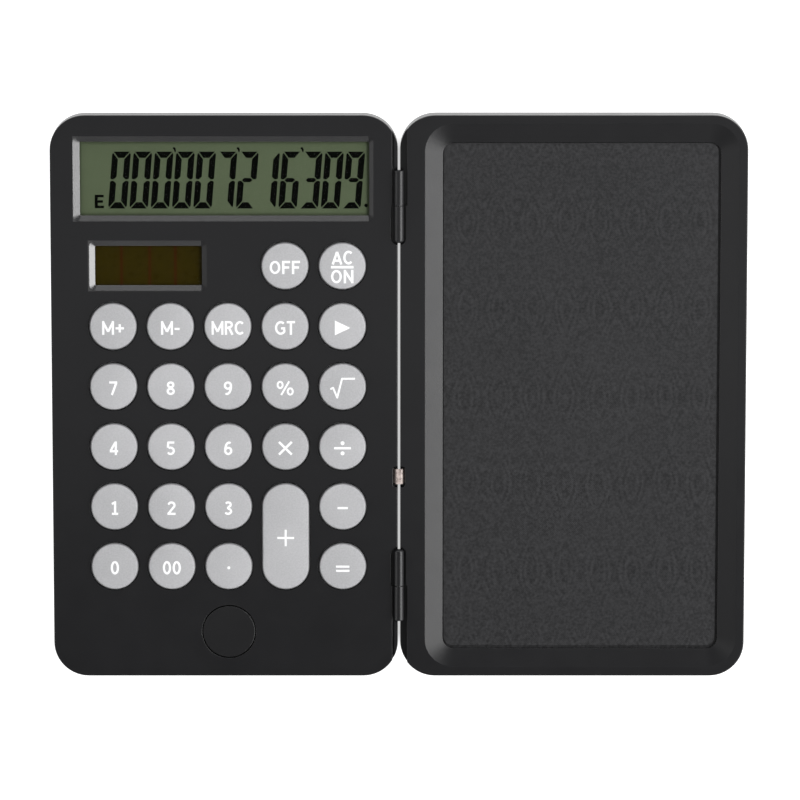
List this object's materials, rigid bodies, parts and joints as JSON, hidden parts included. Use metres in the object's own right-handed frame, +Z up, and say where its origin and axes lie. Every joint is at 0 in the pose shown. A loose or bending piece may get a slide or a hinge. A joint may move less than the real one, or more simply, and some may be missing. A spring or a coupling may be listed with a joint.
{
  "type": "folding pocket calculator",
  "caption": "Book-style folding pocket calculator with round keys, a recessed display and solar cell, and a hinged lid that carries a framed writing tablet.",
  "frame": {"origin": "middle of the opened object, on the surface that it rests on", "axes": "+X from the calculator half to the lid, across the hinge; +Y towards the display end; +Z up out of the keys"},
  "size_m": [0.1996, 0.1634, 0.0101],
  "materials": {
    "body_plastic": "fine-textured black moulded plastic",
    "lid_plastic": "fine-textured black moulded plastic",
    "key_plastic": "satin silver-grey moulded plastic",
    "legend_ink": "white printed legends",
    "display_ink": "dark liquid crystal segments",
    "button_plastic": "matte black moulded plastic",
    "screw_steel": "zinc-plated steel",
    "pin_steel": "plain steel wire",
    "cell_steel": "bright nickel-plated steel",
    "contact_nickel": "nickel-plated spring strip",
    "foot_rubber": "soft matte black rubber",
    "clear_lens": "clear polished window",
    "lcd_glass": "green-grey reflective display glass",
    "connector_rubber": "pink and black striped rubber",
    "solar_film": "dark brown amorphous solar film on glass",
    "lead_sleeve": "thin insulated lead",
    "mat_silicone": "translucent white silicone",
    "board_laminate": "green circuit board with solder mask",
    "chip_resin": "black resin blob",
    "switch_plastic": "black switch body",
    "ribbon_film": "copper tracks under clear film",
    "writing_film": "dark satin writing film with a fine woven pattern",
    "backing_plastic": "plain stiff sheet"
  },
  "bodies": {
    "base": {"base_front_housing": "body_plastic", "base_rear_housing": "body_plastic", "base_screws": "screw_steel", "base_feet": "foot_rubber", "battery_door": "body_plastic", "battery_door_screw": "screw_steel", "coin_cell": "cell_steel", "battery_contact_positive": "contact_nickel", "battery_contact_negative": "contact_nickel", "display_lens": "clear_lens", "lcd_glass": "lcd_glass", "lcd_connector_strip": "connector_rubber", "solar_lens": "clear_lens", "solar_cell": "solar_film", "solar_leads": "lead_sleeve", "key_mat": "mat_silicone", "main_board": "board_laminate", "processor_chip": "chip_resin", "board_screws": "screw_steel", "erase_switch": "switch_plastic", "hinge_pins": "pin_steel", "ribbon_cable": "ribbon_film"},
    "lid": {"lid_frame": "lid_plastic", "lid_back_cover": "lid_plastic", "writing_panel": "writing_film", "panel_backing": "backing_plastic", "panel_tail": "ribbon_film"},
    "key_0": {"key_0": "key_plastic"},
    "key_00": {"key_00": "key_plastic"},
    "key_1": {"key_1": "key_plastic"},
    "key_2": {"key_2": "key_plastic"},
    "key_3": {"key_3": "key_plastic"},
    "key_4": {"key_4": "key_plastic"},
    "key_5": {"key_5": "key_plastic"},
    "key_6": {"key_6": "key_plastic"},
    "key_7": {"key_7": "key_plastic"},
    "key_8": {"key_8": "key_plastic"},
    "key_9": {"key_9": "key_plastic"},
    "key_ac_on": {"key_ac_on": "key_plastic"},
    "key_check": {"key_check": "key_plastic"},
    "key_divide": {"key_divide": "key_plastic"},
    "key_equals": {"key_equals": "key_plastic"},
    "key_gt": {"key_gt": "key_plastic"},
    "key_m_minus": {"key_m_minus": "key_plastic"},
    "key_m_plus": {"key_m_plus": "key_plastic"},
    "key_minus": {"key_minus": "key_plastic"},
    "key_mrc": {"key_mrc": "key_plastic"},
    "key_multiply": {"key_multiply": "key_plastic"},
    "key_off": {"key_off": "key_plastic"},
    "key_percent": {"key_percent": "key_plastic"},
    "key_plus": {"key_plus": "key_plastic"},
    "key_point": {"key_point": "key_plastic"},
    "key_root": {"key_root": "key_plastic"},
    "erase_button": {"erase_button": "button_plastic", "switch_plunger": "switch_plastic"}
  },
  "joints": [
    {"name": "lid_fold", "type": "hinge", "parent": "base", "child": "lid", "pos_m": [0, 0, 0.0087], "axis": [0, -1, 0], "range_deg": [0, 180], "deforming": ["ribbon_cable"]},
    {"name": "key_0_press", "type": "slide", "parent": "base", "child": "key_0", "axis": [0, 0, -1], "range_m": [0, 0.0009], "stiffness_N_per_m": 500, "springref_m": -0.0005, "deforming": ["key_mat"]},
    {"name": "key_00_press", "type": "slide", "parent": "base", "child": "key_00", "axis": [0, 0, -1], "range_m": [0, 0.0009], "stiffness_N_per_m": 500, "springref_m": -0.0005, "deforming": ["key_mat"]},
    {"name": "key_1_press", "type": "slide", "parent": "base", "child": "key_1", "axis": [0, 0, -1], "range_m": [0, 0.0009], "stiffness_N_per_m": 500, "springref_m": -0.0005, "deforming": ["key_mat"]},
    {"name": "key_2_press", "type": "slide", "parent": "base", "child": "key_2", "axis": [0, 0, -1], "range_m": [0, 0.0009], "stiffness_N_per_m": 500, "springref_m": -0.0005, "deforming": ["key_mat"]},
    {"name": "key_3_press", "type": "slide", "parent": "base", "child": "key_3", "axis": [0, 0, -1], "range_m": [0, 0.0009], "stiffness_N_per_m": 500, "springref_m": -0.0005, "deforming": ["key_mat"]},
    {"name": "key_4_press", "type": "slide", "parent": "base", "child": "key_4", "axis": [0, 0, -1], "range_m": [0, 0.0009], "stiffness_N_per_m": 500, "springref_m": -0.0005, "deforming": ["key_mat"]},
    {"name": "key_5_press", "type": "slide", "parent": "base", "child": "key_5", "axis": [0, 0, -1], "range_m": [0, 0.0009], "stiffness_N_per_m": 500, "springref_m": -0.0005, "deforming": ["key_mat"]},
    {"name": "key_6_press", "type": "slide", "parent": "base", "child": "key_6", "axis": [0, 0, -1], "range_m": [0, 0.0009], "stiffness_N_per_m": 500, "springref_m": -0.0005, "deforming": ["key_mat"]},
    {"name": "key_7_press", "type": "slide", "parent": "base", "child": "key_7", "axis": [0, 0, -1], "range_m": [0, 0.0009], "stiffness_N_per_m": 500, "springref_m": -0.0005, "deforming": ["key_mat"]},
    {"name": "key_8_press", "type": "slide", "parent": "base", "child": "key_8", "axis": [0, 0, -1], "range_m": [0, 0.0009], "stiffness_N_per_m": 500, "springref_m": -0.0005, "deforming": ["key_mat"]},
    {"name": "key_9_press", "type": "slide", "parent": "base", "child": "key_9", "axis": [0, 0, -1], "range_m": [0, 0.0009], "stiffness_N_per_m": 500, "springref_m": -0.0005, "deforming": ["key_mat"]},
    {"name": "key_ac_on_press", "type": "slide", "parent": "base", "child": "key_ac_on", "axis": [0, 0, -1], "range_m": [0, 0.0009], "stiffness_N_per_m": 500, "springref_m": -0.0005, "deforming": ["key_mat"]},
    {"name": "key_check_press", "type": "slide", "parent": "base", "child": "key_check", "axis": [0, 0, -1], "range_m": [0, 0.0009], "stiffness_N_per_m": 500, "springref_m": -0.0005, "deforming": ["key_mat"]},
    {"name": "key_divide_press", "type": "slide", "parent": "base", "child": "key_divide", "axis": [0, 0, -1], "range_m": [0, 0.0009], "stiffness_N_per_m": 500, "springref_m": -0.0005, "deforming": ["key_mat"]},
    {"name": "key_equals_press", "type": "slide", "parent": "base", "child": "key_equals", "axis": [0, 0, -1], "range_m": [0, 0.0009], "stiffness_N_per_m": 500, "springref_m": -0.0005, "deforming": ["key_mat"]},
    {"name": "key_gt_press", "type": "slide", "parent": "base", "child": "key_gt", "axis": [0, 0, -1], "range_m": [0, 0.0009], "stiffness_N_per_m": 500, "springref_m": -0.0005, "deforming": ["key_mat"]},
    {"name": "key_m_minus_press", "type": "slide", "parent": "base", "child": "key_m_minus", "axis": [0, 0, -1], "range_m": [0, 0.0009], "stiffness_N_per_m": 500, "springref_m": -0.0005, "deforming": ["key_mat"]},
    {"name": "key_m_plus_press", "type": "slide", "parent": "base", "child": "key_m_plus", "axis": [0, 0, -1], "range_m": [0, 0.0009], "stiffness_N_per_m": 500, "springref_m": -0.0005, "deforming": ["key_mat"]},
    {"name": "key_minus_press", "type": "slide", "parent": "base", "child": "key_minus", "axis": [0, 0, -1], "range_m": [0, 0.0009], "stiffness_N_per_m": 500, "springref_m": -0.0005, "deforming": ["key_mat"]},
    {"name": "key_mrc_press", "type": "slide", "parent": "base", "child": "key_mrc", "axis": [0, 0, -1], "range_m": [0, 0.0009], "stiffness_N_per_m": 500, "springref_m": -0.0005, "deforming": ["key_mat"]},
    {"name": "key_multiply_press", "type": "slide", "parent": "base", "child": "key_multiply", "axis": [0, 0, -1], "range_m": [0, 0.0009], "stiffness_N_per_m": 500, "springref_m": -0.0005, "deforming": ["key_mat"]},
    {"name": "key_off_press", "type": "slide", "parent": "base", "child": "key_off", "axis": [0, 0, -1], "range_m": [0, 0.0009], "stiffness_N_per_m": 500, "springref_m": -0.0005, "deforming": ["key_mat"]},
    {"name": "key_percent_press", "type": "slide", "parent": "base", "child": "key_percent", "axis": [0, 0, -1], "range_m": [0, 0.0009], "stiffness_N_per_m": 500, "springref_m": -0.0005, "deforming": ["key_mat"]},
    {"name": "key_plus_press", "type": "slide", "parent": "base", "child": "key_plus", "axis": [0, 0, -1], "range_m": [0, 0.0009], "stiffness_N_per_m": 500, "springref_m": -0.0005, "deforming": ["key_mat"]},
    {"name": "key_point_press", "type": "slide", "parent": "base", "child": "key_point", "axis": [0, 0, -1], "range_m": [0, 0.0009], "stiffness_N_per_m": 500, "springref_m": -0.0005, "deforming": ["key_mat"]},
    {"name": "key_root_press", "type": "slide", "parent": "base", "child": "key_root", "axis": [0, 0, -1], "range_m": [0, 0.0009], "stiffness_N_per_m": 500, "springref_m": -0.0005, "deforming": ["key_mat"]},
    {"name": "erase_button_press", "type": "slide", "parent": "base", "child": "erase_button", "axis": [0, 0, -1], "range_m": [0, 0.0003], "stiffness_N_per_m": 2000, "springref_m": -0.0003}
  ]
}
